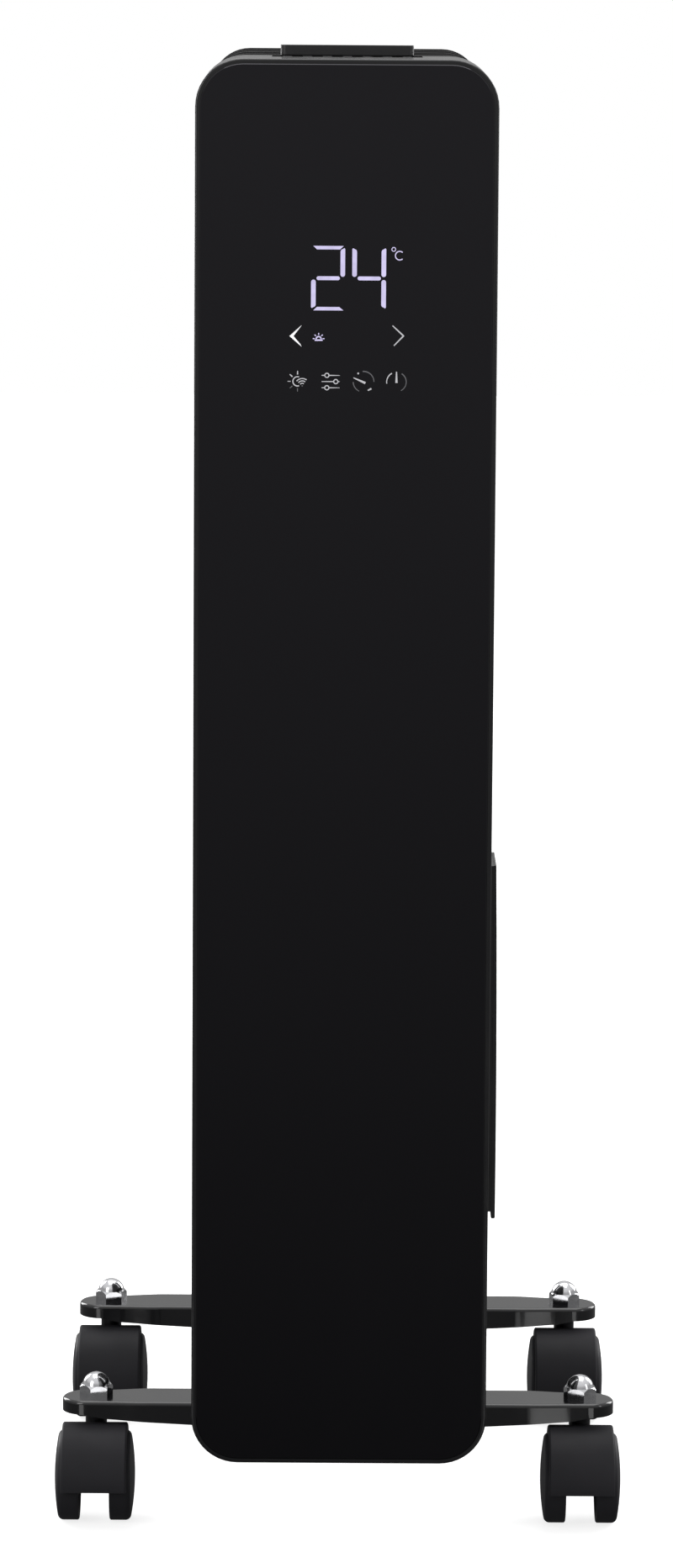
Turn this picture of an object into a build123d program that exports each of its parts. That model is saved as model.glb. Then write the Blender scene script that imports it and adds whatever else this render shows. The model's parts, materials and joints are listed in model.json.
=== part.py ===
from build123d import *
import math
import os

# Oil filled radiator heater, in millimetres.
# +X is to the right seen from the control panel, +Y runs from the panel to the rear, +Z is up.
# The origin is on the floor, under the middle of the object.
# A steel stack of seven oil filled fins carries a full height control column at its front,
# and stands on two cross brackets with a twin wheel caster at each end.

# ---------------------------------------------------------------- driving dimensions
PANEL_W = 127.0            # control column, width and height
PANEL_H = 601.8
PANEL_R = 20.0             # corner radius of the control column
PANEL_Z = 47.0             # floor to the column's lower edge
DEPTH = 303.2              # front glass to the rear plugs
FIN_COUNT = 7
FIN_PITCH = 36.0
FIRST_FIN = 75.0           # front glass to the first fin's middle plane
FIN_W = 125.0
FIN_Z0 = 59.0
FIN_Z1 = 646.2
FIN_R = 18.0
LOWER_HUB_Z = 86.0
UPPER_HUB_Z = 592.0
BRACKET_L = 245.6
STEM_X = 108.0             # caster stem axis, left and right of the middle
WHEEL_R = 20.0
TRAIL = 14.0               # caster stem axis to wheel axis

# ---------------------------------------------------------------- control column
BEZEL_D = 12.0             # front frame, depth
HOUSING_D = 60.0           # glass face to the housing's rear edge
HOUSING_T = 2.2            # housing wall
GLASS_T = 3.0
BEZEL_LIP = 2.1            # visible width of the frame round the glass
GLASS_GAP = 0.15
COVER_T = 1.2              # rear steel cover
VENT_COUNT = 8
VENT_W = 4.6
VENT_PITCH = 8.45
VENT_D0 = 33.0
VENT_D1 = 55.0

# cord compartment in the right side of the column
BAY_Z0 = 158.5
BAY_Z1 = 303.5
BAY_D0 = 17.0
BAY_D1 = 50.0
BAY_X0 = 20.0
BAY_T = 1.6
BAY_RIM = 3.0              # raised frame round the compartment, width and height
FRAME_PROUD = 1.5
DOOR_T = 1.8               # the door's thickness at its lower end
DOOR_LIP = 3.3             # door below the frame, for a finger
HINGE_R = 1.8
HINGE_PIN_R = 0.8
KNUCKLES = [(190.0, 205.0), (255.0, 270.0)]

# mains lead's bush, in the column's underside
GLAND_X = 34.0
GLAND_D = 36.0
GLAND_NECK_R = 7.0
GLAND_BORE_R = 3.9
GLAND_LENGTH = 16.0

# ---------------------------------------------------------------- electronics
DISPLAY_Z0 = 496.0
DISPLAY_Z1 = 584.0
BOARD_D = 9.0
BOARD_T = 1.6
TOUCH_PLACES = [(-21.1, 533.5), (22.0, 533.9), (-20.1, 514.4), (-6.3, 514.4), (7.6, 514.4), (21.4, 514.4)]
DIGIT_PLACES = [-7.55, 9.62]
TIP_X = -34.0              # tip-over switch, pivot
TIP_D = 44.0
TIP_PIVOT_Z = 150.0
TIP_LEAF = 3.0

# ---------------------------------------------------------------- handle
HANDLE_W = 56.6
HANDLE_D0 = 52.0
HANDLE_D1 = 214.0
HANDLE_Z = 653.3           # top of its front edge
HANDLE_DROP = 5.0          # from front to rear
HANDLE_NOSE = 4.1

# ---------------------------------------------------------------- fins
SHEET = 0.8
CHANNEL_X = (-35.0, 0.0, 35.0)
CHANNEL_W = 17.0
CHANNEL_H = 4.8            # half thickness over the oil channels
HEADER_W = 94.0
HEADER_H = 42.0
HUB_R = 17.5
HUB_H = 6.5                # half thickness over the hubs
COLLAR_R = 15.0
PASSAGE_R = 11.0
NOTCH_W = 58.0
NOTCH_H = 25.0

# ---------------------------------------------------------------- feet
PLATE_T = 2.0
PAD_Z = 53.7               # top of the bracket at its ends
MID_Z = 54.0
BRACKET_AHEAD = 4.0        # the bracket's centre line, in front of its casters' studs
STUD_R = 4.0
COLLAR_STEM_R = 4.8
SPINDLE_R = 4.5
HOOD_W = 29.0
HOOD_R = 23.4
HOOD_LOW = -2.2            # the hood's front lower edge, from the wheel axis
BOSS_R = 6.3
BOSS_TOP = 39.2
SEAT_Z = 40.6              # seat for the spindle's collar in the hood
WHEEL_IN = 6.8
WHEEL_OUT = 17.8
AXLE_R = 2.0
STUD_TOP = 60.5
SOCKET_FLOOR = 25.0
U_WIRE_R = 2.5
RUNNING = 0.06             # radial clearance of turning fits

Y0 = -DEPTH / 2            # the glass face
PANEL_TOP = PANEL_Z + PANEL_H
PANEL_MID = PANEL_Z + PANEL_H / 2
FRONT_FOOT_D = FIRST_FIN + FIN_PITCH / 2
REAR_FOOT_D = FIRST_FIN + (FIN_COUNT - 1.5) * FIN_PITCH
FIN_D = [FIRST_FIN + i * FIN_PITCH for i in range(FIN_COUNT)]
HALF_W = PANEL_W / 2
DOOR_D0 = BAY_D0 - 2.0
DOOR_D1 = BAY_D1 + 1.5
HINGE_X = HALF_W + 2.1
HINGE_D = BAY_D1 + 3.6
GLAND_Z0 = PANEL_Z - 4.0
HANDLE_FOOT_D = FIRST_FIN + 3.5 * FIN_PITCH
U_BOLT_R = COLLAR_R + U_WIRE_R + 0.1
CORNERS = {"front_left": (-STEM_X, FRONT_FOOT_D), "front_right": (STEM_X, FRONT_FOOT_D),
           "rear_left": (-STEM_X, REAR_FOOT_D), "rear_right": (STEM_X, REAR_FOOT_D)}
FEET_D = (FRONT_FOOT_D, REAR_FOOT_D)


def yd(d):
    """Y of a place d millimetres behind the glass face."""
    return Y0 + d


def slab(sketch, d0, d1):
    """A sketch drawn in X and Z, made solid from depth d0 to depth d1."""
    return extrude(Plane.XZ.offset(-yd(d0)) * sketch, amount=d0 - d1)


def rounded(w, h, r, x=0.0, z=0.0):
    """A rounded rectangle round (x, z)."""
    return Pos(x, z) * RectangleRounded(w, h, r)


def box(x0, x1, d0, d1, z0, z1):
    """A box between two X places, two depths and two heights."""
    at = Pos((x0 + x1) / 2, yd((d0 + d1) / 2), (z0 + z1) / 2)
    return at * Box(x1 - x0, d1 - d0, z1 - z0)


def rod_y(x, z, r, d0, d1):
    """A round bar along Y."""
    at = Pos(x, yd((d0 + d1) / 2), z) * Rot(90, 0, 0)
    return at * Cylinder(r, d1 - d0)


def rod_x(d, z, r, x0, x1):
    """A round bar along X."""
    return Pos((x0 + x1) / 2, yd(d), z) * Rot(0, 90, 0) * Cylinder(r, x1 - x0)


def rod_z(x, d, r, z0, z1):
    """A round bar along Z."""
    return Pos(x, yd(d), (z0 + z1) / 2) * Cylinder(r, z1 - z0)


def write(name, shape):
    """One sub-part, one file."""
    export_step(shape, f"parts/{name}.step")


def group(name, shapes):
    """Identical pieces that share a file and stay separate solids."""
    write(name, Compound(children=list(shapes)))


# ---------------------------------------------------------------- fins
def fin_outline(inset):
    """A fin's edge drawn in by inset: a rounded rectangle with a notch in its top for the handle."""
    floor_z = FIN_Z1 - NOTCH_H - inset
    half = NOTCH_W / 2 + inset
    with BuildSketch() as outline:
        with Locations((0, (FIN_Z0 + FIN_Z1) / 2)):
            RectangleRounded(FIN_W - 2 * inset, FIN_Z1 - FIN_Z0 - 2 * inset, FIN_R - inset)
        with Locations((0, floor_z + NOTCH_H)):
            Rectangle(2 * half, 2 * NOTCH_H, mode=Mode.SUBTRACT)
        notch_floor = outline.vertices().filter_by(
            lambda v: abs(abs(v.X) - half) < 0.1 and abs(v.Y - floor_z) < 0.1)
        fillet(notch_floor, 9 + inset)
    return outline.sketch


def oil_ways(shrink):
    """The pressed oil ways seen from the front: two headers joined by upright channels."""
    ways = Sketch()
    for z in (LOWER_HUB_Z, UPPER_HUB_Z):
        ways += rounded(HEADER_W - 2 * shrink, HEADER_H - 2 * shrink, HEADER_H / 2 - shrink - 0.01, 0, z)
    for x in CHANNEL_X:
        middle = (LOWER_HUB_Z + UPPER_HUB_Z) / 2
        tall = UPPER_HUB_Z - LOWER_HUB_Z
        ways += Pos(x, middle) * Rectangle(CHANNEL_W - 2 * shrink, tall)
    return ways


def pressing(shrink, inset):
    """The raised oil ways of a fin whose middle plane is at Y 0, both halves."""
    ways = oil_ways(shrink)
    hubs = Sketch() + [Pos(0, z) * Circle(HUB_R - shrink + 2) for z in (LOWER_HUB_Z, UPPER_HUB_Z)]
    raised = extrude(Plane.XZ * ways, amount=CHANNEL_H - inset, taper=32)
    raised += extrude(Plane.XZ * hubs, amount=HUB_H - inset, taper=12)
    return raised + mirror(raised, about=Plane.XZ)


def make_fin():
    """A hollow fin at Y 0: two pressed sheets with a flat seam, a hemmed edge and an opening in each hub."""
    outline = fin_outline(0)
    hem_w, hem_t = 3.0, 1.6
    hem = outline - fin_outline(hem_w)
    fin = extrude(Plane.XZ * outline, amount=SHEET, both=True)
    fin += extrude(Plane.XZ * hem, amount=hem_t, both=True)
    fin += pressing(0, 0)
    fin -= pressing(SHEET, SHEET)
    for z in (LOWER_HUB_Z, UPPER_HUB_Z):
        fin -= Pos(0, 0, z) * Rot(90, 0, 0) * Cylinder(PASSAGE_R, 2 * HUB_H + 2)
    return fin


def make_collars(z):
    """The welded rings that join the fins' hubs and carry the oil from fin to fin."""
    rings = []
    for d in FIN_D[:-1]:
        ring = rod_y(0, z, COLLAR_R, d + HUB_H, d + FIN_PITCH - HUB_H)
        rings.append(ring - rod_y(0, z, PASSAGE_R, d, d + FIN_PITCH))
    return rings


def make_plug(d0, d1, z, facing):
    """A blanking plug welded over a hub, with a hexagon facing out."""
    plug = rod_y(0, z, COLLAR_R, d0, d1)
    hex_d0, hex_d1 = (d1, d1 + 3.7) if facing > 0 else (d0 - 3.0, d0)
    hexagon = Pos(0, z) * RegularPolygon(9.0, 6)
    return plug + slab(hexagon, hex_d0, hex_d1)


def make_heating_element():
    """A sheathed heater bent into a long U that lies in the oil of the lower hubs."""
    sheath_r, half_span = 3.2, 5.4
    d_start, d_end = 49.0, FIN_D[-1] - 8
    z = LOWER_HUB_Z
    with BuildPart() as element:
        with BuildLine() as path:
            l1 = Line((-half_span, yd(d_start), z), (-half_span, yd(d_end), z))
            l2 = ThreePointArc(l1 @ 1, (0, yd(d_end + half_span), z), (half_span, yd(d_end), z))
            Line(l2 @ 1, (half_span, yd(d_start), z))
        with BuildSketch(Plane(path.line @ 0, z_dir=path.line % 0)):
            Circle(sheath_r)
        sweep()
    return element.part


def make_element_flange():
    """The heater's screwed flange: it closes the lower hub and passes through the rear cover."""
    d_face, d_seat = 56.0, FIN_D[0] - HUB_H
    flange = rod_y(0, LOWER_HUB_Z, 16.0, d_face, HOUSING_D)
    flange += rod_y(0, LOWER_HUB_Z, 12.0, HOUSING_D, d_seat)
    hexagon = Pos(0, LOWER_HUB_Z) * RegularPolygon(13.5, 6)
    flange += slab(hexagon, d_face - 4, d_face)
    for x in (-5.4, 5.4):
        flange -= rod_y(x, LOWER_HUB_Z, 3.2, d_face - 5, d_seat + 1)
    return flange


def make_element_gasket():
    """The ring that seals the flange against the first fin."""
    ring = rod_y(0, LOWER_HUB_Z, 16.5, FIN_D[0] - HUB_H - 2.0, FIN_D[0] - HUB_H)
    return ring - rod_y(0, LOWER_HUB_Z, 12.0, FIN_D[0] - HUB_H - 3, FIN_D[0])


# ---------------------------------------------------------------- control column
def make_glass():
    """The full height touch glass."""
    w = PANEL_W - 2 * BEZEL_LIP
    h = PANEL_H - 2 * BEZEL_LIP
    pane = slab(rounded(w, h, PANEL_R - BEZEL_LIP, 0, PANEL_MID), 0, GLASS_T)
    front = pane.faces().sort_by(Axis.Y)[0]
    return chamfer(front.edges(), 0.3)


def make_bezel():
    """The frame that holds the glass: a rounded outer edge, a rebate for the glass and a ledge behind it."""
    front_d = 0.4
    ledge = 6.0
    rebate_w = PANEL_W - 2 * BEZEL_LIP + 2 * GLASS_GAP
    rebate_h = PANEL_H - 2 * BEZEL_LIP + 2 * GLASS_GAP
    rebate_r = PANEL_R - BEZEL_LIP + GLASS_GAP
    frame = slab(rounded(PANEL_W, PANEL_H, PANEL_R, 0, PANEL_MID), front_d, BEZEL_D)
    front = frame.faces().sort_by(Axis.Y)[0]
    frame = fillet(front.edges(), 0.9)
    frame -= slab(rounded(rebate_w, rebate_h, rebate_r, 0, PANEL_MID), -1, GLASS_T)
    inner_w, inner_h = PANEL_W - 2 * ledge - 2, PANEL_H - 2 * ledge - 2
    frame -= slab(rounded(inner_w, inner_h, PANEL_R - ledge, 0, PANEL_MID), -1, BEZEL_D + 1)
    return frame


def vent_slots(z0, z1):
    """A row of slots that run front to rear."""
    first = -(VENT_COUNT - 1) * VENT_PITCH / 2
    slots = []
    for i in range(VENT_COUNT):
        x = first + i * VENT_PITCH
        slots.append(box(x - VENT_W / 2, x + VENT_W / 2, VENT_D0, VENT_D1, z0, z1))
    return slots


def make_housing():
    """The column's outer shell: top and bottom vents, and an opening with a raised frame for the cord compartment."""
    shell = slab(rounded(PANEL_W, PANEL_H, PANEL_R, 0, PANEL_MID), BEZEL_D, HOUSING_D)
    seam = shell.faces().sort_by(Axis.Y)[0]
    shell = chamfer(seam.edges(), 0.3)
    back = shell.faces().sort_by(Axis.Y)[-1]
    shell = fillet(back.edges(), 2.0)
    w, h = PANEL_W - 2 * HOUSING_T, PANEL_H - 2 * HOUSING_T
    shell -= slab(rounded(w, h, PANEL_R - HOUSING_T, 0, PANEL_MID), BEZEL_D - 1, HOUSING_D + 1)
    frame = box(HALF_W - HOUSING_T, HALF_W + FRAME_PROUD, BAY_D0 - BAY_RIM, BAY_D1 + 1.4,
                BAY_Z0 - BAY_RIM, BAY_Z1 + BAY_RIM)
    shell += frame
    shell -= box(HALF_W - HOUSING_T - 1, HALF_W + FRAME_PROUD + 1, BAY_D0, BAY_D1, BAY_Z0, BAY_Z1)
    for slot in vent_slots(PANEL_TOP - HOUSING_T - 1, PANEL_TOP + 1):
        shell -= slot
    for slot in vent_slots(PANEL_Z - 1, PANEL_Z + HOUSING_T + 1):
        if slot.center().X < 20:
            shell -= slot
    shell -= rod_z(GLAND_X, GLAND_D, GLAND_NECK_R, PANEL_Z - 1, PANEL_Z + HOUSING_T + 1)
    for post in housing_posts():
        shell += post
    return shell + door_knuckle() + terminal_shelf()


def make_gland():
    """The bush that the mains lead comes in through: a flange outside, a neck and a nut flange inside."""
    z0 = GLAND_Z0
    gland = rod_z(GLAND_X, GLAND_D, 10.0, z0, PANEL_Z)
    gland += rod_z(GLAND_X, GLAND_D, GLAND_NECK_R, PANEL_Z, z0 + GLAND_LENGTH)
    gland += rod_z(GLAND_X, GLAND_D, 9.0, PANEL_Z + HOUSING_T, PANEL_Z + HOUSING_T + 3.0)
    outer = gland.faces().sort_by(Axis.Z)[0]
    gland = fillet(outer.edges(), 1.5)
    return gland - rod_z(GLAND_X, GLAND_D, GLAND_BORE_R, z0 - 1, z0 + GLAND_LENGTH + 1)


def make_rear_cover():
    """The steel heat shield that closes the column, with vent slots, hub openings and the main board's posts."""
    lip = 1.0
    w, h = PANEL_W - 2 * HOUSING_T - 2 * lip, PANEL_H - 2 * HOUSING_T - 2 * lip
    cover = slab(rounded(w, h, PANEL_R - HOUSING_T - lip, 0, PANEL_MID), HOUSING_D, HOUSING_D + COVER_T)
    cover -= rod_y(0, LOWER_HUB_Z, 12.4, HOUSING_D - 1, HOUSING_D + COVER_T + 1)
    cover -= rod_y(0, UPPER_HUB_Z, 12.0, HOUSING_D - 1, HOUSING_D + COVER_T + 1)
    slot_z = [150 + i * 22.0 for i in range(19)]
    for z in slot_z:
        slot = SlotOverall(64, 6)
        cover -= slab(Pos(0, z) * slot, HOUSING_D - 1, HOUSING_D + COVER_T + 1)
    for x, z in cover_screw_places():
        cover -= rod_y(x, z, 1.8, HOUSING_D - 1, HOUSING_D + COVER_T + 1)
    for x in (-48, 8):
        for z in (334, 466):
            cover += rod_y(x, z, 3.0, 41.6, HOUSING_D + 0.5)
    return cover


def cover_screw_places():
    """The rear cover's screws."""
    return [(x, z) for x in (-50.0, 50.0) for z in (90.0, 350.0, 605.0)]


def make_cover_screws():
    """Pan head screws that hold the rear cover to the column's inner posts."""
    screws = []
    for x, z in cover_screw_places():
        head = rod_y(x, z, 3.2, HOUSING_D + COVER_T, HOUSING_D + COVER_T + 2.0)
        screws.append(head + rod_y(x, z, 1.5, HOUSING_D - 9, HOUSING_D + COVER_T))
    return screws


def housing_posts():
    """Screw posts moulded inside the shell for the rear cover, each tied to the side wall by a rib."""
    posts = []
    for x, z in cover_screw_places():
        if x > 0 and BAY_Z0 - 10 < z < BAY_Z1 + 10:
            continue
        post = rod_y(x, z, 4.0, HOUSING_D - 14, HOUSING_D)
        side = 1 if x > 0 else -1
        wall = side * (HALF_W - HOUSING_T / 2)
        rib = box(min(x, wall), max(x, wall), HOUSING_D - 14, HOUSING_D, z - 1, z + 1)
        posts.append(post + rib - rod_y(x, z, 1.5, HOUSING_D - 9, HOUSING_D + 1))
    return posts


def make_spacers():
    """The tubes that hold the rear cover off the first fin, so that little heat reaches the electronics."""
    fin_face = FIN_D[0] - SHEET
    spots = [(x, z) for x in (-52.0, 52.0) for z in (200.0, 480.0)]
    return [rod_y(x, z, 3.5, HOUSING_D + COVER_T, fin_face) - rod_y(x, z, 1.6, HOUSING_D, fin_face + 1)
            for x, z in spots]


# ---------------------------------------------------------------- cord compartment
def make_cord_bay():
    """The liner of the cord compartment: a five sided tray open to the right."""
    x1 = HALF_W - HOUSING_T
    tray = box(BAY_X0, x1, BAY_D0 - BAY_T, BAY_D1 + BAY_T, BAY_Z0 - BAY_T, BAY_Z1 + BAY_T)
    return tray - box(BAY_X0 + BAY_T, x1 + 1, BAY_D0, BAY_D1, BAY_Z0, BAY_Z1)


def make_cord_door():
    """The compartment's door: a bowed plate with a finger lip below and two hinge knuckles behind."""
    z0 = BAY_Z0 - BAY_RIM - DOOR_LIP
    z1 = BAY_Z1 + BAY_RIM
    x0 = HALF_W + FRAME_PROUD + 0.1
    with BuildSketch(Plane.XZ) as side:
        with BuildLine():
            Line((x0, z0), (x0, z1))
            Line((x0, z1), (x0 + DOOR_T / 2, z1))
            ThreePointArc((x0 + DOOR_T / 2, z1), (x0 + DOOR_T - 0.05, (z0 + z1) / 2), (x0 + DOOR_T, z0))
            Line((x0 + DOOR_T, z0), (x0, z0))
        make_face()
    plate = Pos(0, yd((DOOR_D0 + DOOR_D1) / 2), 0) * extrude(side.sketch, (DOOR_D1 - DOOR_D0) / 2, both=True)
    tip = plate.edges().filter_by(Axis.Y).sort_by(Axis.Z)[:2]
    plate = fillet(tip, 0.8)
    for low, high in KNUCKLES:
        plate += rod_z(HINGE_X, HINGE_D, HINGE_R, low, high)
        plate += box(x0 + 0.1, x0 + 1.4, DOOR_D1 - 1, HINGE_D, low, high)
        plate -= rod_z(HINGE_X, HINGE_D, HINGE_PIN_R + RUNNING, low - 1, high + 1)
    return plate


def door_knuckle():
    """The fixed middle knuckle of the door's hinge, moulded on the housing."""
    low, high = KNUCKLES[0][1] + 0.4, KNUCKLES[1][0] - 0.4
    block = rod_z(HINGE_X, HINGE_D, HINGE_R, low, high)
    block += box(HALF_W - 1, HINGE_X, HINGE_D - 1.5, HINGE_D + 1.5, low, high)
    return block - rod_z(HINGE_X, HINGE_D, HINGE_PIN_R, low - 1, high + 1)


def make_door_pin():
    """The steel pin that the door turns on."""
    return rod_z(HINGE_X, HINGE_D, HINGE_PIN_R, KNUCKLES[0][0], KNUCKLES[1][1])


# ---------------------------------------------------------------- electronics
def make_display_board():
    """The circuit board behind the display."""
    board = box(-42, 42, BOARD_D, BOARD_D + BOARD_T, DISPLAY_Z0, DISPLAY_Z1)
    for x in (-38.0, 38.0):
        for z in (DISPLAY_Z0 + 4, DISPLAY_Z1 - 4):
            board -= rod_y(x, z, 1.6, BOARD_D - 1, BOARD_D + 3)
    return board


def make_display_reflector():
    """The moulded block that keeps the light of the digits and symbols apart, with wells for the touch springs."""
    block = box(-40, 40, GLASS_T + 0.1, BOARD_D, DISPLAY_Z0 + 8, DISPLAY_Z1 - 2)
    for x in DIGIT_PLACES:
        block -= box(x - 8.0, x + 8.0, 0, BOARD_D + 1, 543, 573)
    for x, z in TOUCH_PLACES:
        block -= rod_y(x, z, 4.2, 0, BOARD_D + 1)
    return block


def make_touch_springs():
    """Coil springs that carry the touch sensing from the board to the glass."""
    coils = []
    for x, z in TOUCH_PLACES:
        turns = Helix(pitch=1.45, height=5.2, radius=2.6)
        start = turns @ 0
        coil = sweep(Plane(start, z_dir=turns % 0) * Circle(0.35), path=turns)
        at = Pos(x, yd(GLASS_T + 0.45), z) * Rot(-90, 0, 0)
        coils.append(at * coil)
    return coils


def make_power_board():
    """The main board that switches the heater."""
    return box(-52, 12, 40, 41.6, 330, 470)


def make_board_parts():
    """Relays, a supply transformer and a capacitor on the main board."""
    relays = [box(x, x + 15, 20, 40, 440, 464) for x in (-48, -30)]
    transformer = box(-44, -18, 22, 40, 380, 404)
    capacitor = rod_y(-4, 392, 8, 24, 40)
    fuse = box(-46, -20, 32, 40, 350, 357)
    return relays + [transformer, capacitor, fuse]


def make_terminal_block():
    """The screw terminals where the mains lead ends."""
    block = box(22, 58, 28, 44, 84, 100)
    for x in (28.0, 40.0, 52.0):
        block -= rod_z(x, 36, 2.4, 90, 101)
        block -= rod_z(x, 36, 2.0, 83, 95)
    return block


def terminal_shelf():
    """The shelf moulded on the right wall that carries the terminals."""
    shelf = box(22, HALF_W - 1, 44, 46, 80, 112)
    return shelf + box(HALF_W - HOUSING_T - 2, HALF_W - 1, 26, 44, 80, 112)


def make_room_sensor():
    """The room temperature sensor and its clip, just inside the lower vents."""
    clip = box(-34, -26, 30, 40, PANEL_Z + HOUSING_T, PANEL_Z + HOUSING_T + 10)
    clip -= box(-32, -28, 31.5, 38.5, PANEL_Z + HOUSING_T - 1, PANEL_Z + HOUSING_T + 6)
    return clip + rod_z(-30, 35, 2.2, PANEL_Z + HOUSING_T + 10, PANEL_Z + HOUSING_T + 18)


def make_thermal_cutout():
    """The bimetal cut-out pressed on the first fin, with its two tabs."""
    z = 150.0
    disc = rod_y(-17.5, z, 8.0, 66.0, FIN_D[0] - SHEET)
    disc += box(-23.5, -19.5, 64.0, 66.0, z - 2, z + 2)
    return disc + box(-15.5, -11.5, 64.0, 66.0, z - 2, z + 2)


# ---------------------------------------------------------------- tip-over switch
def make_tip_bracket():
    """The tip-over switch's cage, fixed to the rear cover: two cheeks, a back plate and the pivot pin."""
    cage = box(TIP_X - 15, TIP_X + 15, HOUSING_D - 2, HOUSING_D, 108, 160)
    for d0 in (TIP_D - 9, TIP_D + 7):
        cage += box(TIP_X - 6, TIP_X + 6, d0, d0 + 2, 140, 160)
    cage += box(TIP_X - 6, TIP_X + 6, TIP_D - 9, HOUSING_D - 2, 158, 160)
    return cage + rod_y(TIP_X, TIP_PIVOT_Z, 1.5, TIP_D - 9, TIP_D + 9)


def make_tip_pendulum():
    """The weight that swings aside when the heater tips."""
    arm = box(TIP_X - 2.5, TIP_X + 2.5, TIP_D - TIP_LEAF / 2, TIP_D + TIP_LEAF / 2, 118, TIP_PIVOT_Z)
    arm += rod_y(TIP_X, TIP_PIVOT_Z, 4.0, TIP_D - 3, TIP_D + 3)
    arm += rod_y(TIP_X, 116, 8.0, TIP_D - 5, TIP_D + 5)
    return arm - rod_y(TIP_X, TIP_PIVOT_Z, 1.5 + RUNNING, TIP_D - 6, TIP_D + 6)


def make_tip_microswitch():
    """The small switch over the pendulum's head."""
    body = box(TIP_X - 10, TIP_X + 10, TIP_D - 5, TIP_D + 5, 162, 172)
    return body + box(TIP_X - 2, TIP_X + 2, TIP_D - 2, TIP_D + 2, 160, 162)


# ---------------------------------------------------------------- handle
def handle_side():
    """The handle seen from the side: a thin nose, a thicker grip and a low rear end, with a long crowned top."""
    mid = (HANDLE_D0 + HANDLE_D1) / 2
    rear_top = HANDLE_Z - HANDLE_DROP
    nose_low = HANDLE_Z - HANDLE_NOSE
    with BuildSketch(Plane.YZ) as side:
        with BuildLine():
            ThreePointArc((yd(HANDLE_D0), HANDLE_Z), (yd(mid), HANDLE_Z - 1.9), (yd(HANDLE_D1), rear_top))
            Line((yd(HANDLE_D1), rear_top), (yd(HANDLE_D1), rear_top - 7))
            Line((yd(HANDLE_D1), rear_top - 7), (yd(HANDLE_D1 - 16), rear_top - 7))
            ThreePointArc((yd(HANDLE_D1 - 16), rear_top - 7), (yd(mid + 10), HANDLE_Z - 9.6),
                          (yd(HANDLE_D0 + 16), nose_low))
            Line((yd(HANDLE_D0 + 16), nose_low), (yd(HANDLE_D0), nose_low))
            Line((yd(HANDLE_D0), nose_low), (yd(HANDLE_D0), HANDLE_Z))
        make_face()
    return side.sketch


def make_handle():
    """The carrying handle: it stands on the housing in front and on a bracket between two fins behind."""
    grip = extrude(handle_side(), HANDLE_W / 2, both=True)
    uprights = grip.edges().filter_by(Axis.Z)
    grip = fillet(uprights, 2.4)
    foot = box(-21, 21, HANDLE_D0 + 1.5, HANDLE_D0 + 6.0, PANEL_TOP, HANDLE_Z - HANDLE_NOSE)
    return grip + foot


def make_handle_bracket():
    """The steel fork that straddles the collar between the fourth and fifth fins and carries the handle's rear end."""
    t, half, inner = 1.2, 27.0, 22.5
    top = HANDLE_Z - HANDLE_DROP - 7.0
    low = UPPER_HUB_Z - 6
    fork = box(-half, half, HANDLE_FOOT_D - t, HANDLE_FOOT_D + t, low, top)
    fork -= box(-inner, inner, HANDLE_FOOT_D - 3, HANDLE_FOOT_D + 3, FIN_Z1 - NOTCH_H - 3, top + 1)
    for x in (-half, 17.0):
        fork += box(x, x + 10, HANDLE_FOOT_D - 8, HANDLE_FOOT_D + 6, top - 2, top)
    fork -= rod_y(0, UPPER_HUB_Z, COLLAR_R, HANDLE_FOOT_D - 3, HANDLE_FOOT_D + 3)
    return fork - box(-COLLAR_R, COLLAR_R, HANDLE_FOOT_D - 3, HANDLE_FOOT_D + 3, low - 1, UPPER_HUB_Z)


def make_handle_screws():
    """The screws through the fork's tabs up into the handle."""
    top = HANDLE_Z - HANDLE_DROP - 7.0
    return [rod_z(x, HANDLE_FOOT_D - 5, 2.6, top - 4.0, top - 2.0) for x in (-21, 21)]


# ---------------------------------------------------------------- feet
def bracket_plan(inset):
    """A foot bracket seen from above: a broad middle, gently drawn in to round ends."""
    end_r = 11.5 - inset
    wide = 13.2 - inset
    end_x = BRACKET_L / 2 - 11.5
    with BuildSketch() as plan:
        with BuildLine():
            a = Line((0, wide), (84, wide))
            b = Spline(a @ 1, (end_x - 8, end_r), tangents=[(1, 0), (1, 0)])
            c = Line(b @ 1, (end_x, end_r))
            d = ThreePointArc(c @ 1, (end_x + end_r, 0), (end_x, -end_r))
            e = Line(d @ 1, (end_x - 8, -end_r))
            f = Spline(e @ 1, (84, -wide), tangents=[(-1, 0), (-1, 0)])
            g = Line(f @ 1, (0, -wide))
            Line(g @ 1, a @ 0)
        make_face()
        mirror(about=Plane.YZ)
    return plan.sketch


def bracket_side(top_drop, low_mid, low_knee, low_end):
    """A foot bracket seen from the front, between its upper face less top_drop and its lower edge."""
    far = BRACKET_L / 2 + 2
    with BuildSketch(Plane.XZ) as side:
        with BuildLine():
            Polyline((0, MID_Z - top_drop), (84, MID_Z - top_drop), (100, PAD_Z - top_drop),
                     (far, PAD_Z - top_drop), (far, low_end), (112, low_end), (104, low_knee),
                     (60, low_mid), (0, low_mid),
                     (0, MID_Z - top_drop))
        make_face()
        mirror(about=Plane.YZ)
    return side.sketch


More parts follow.
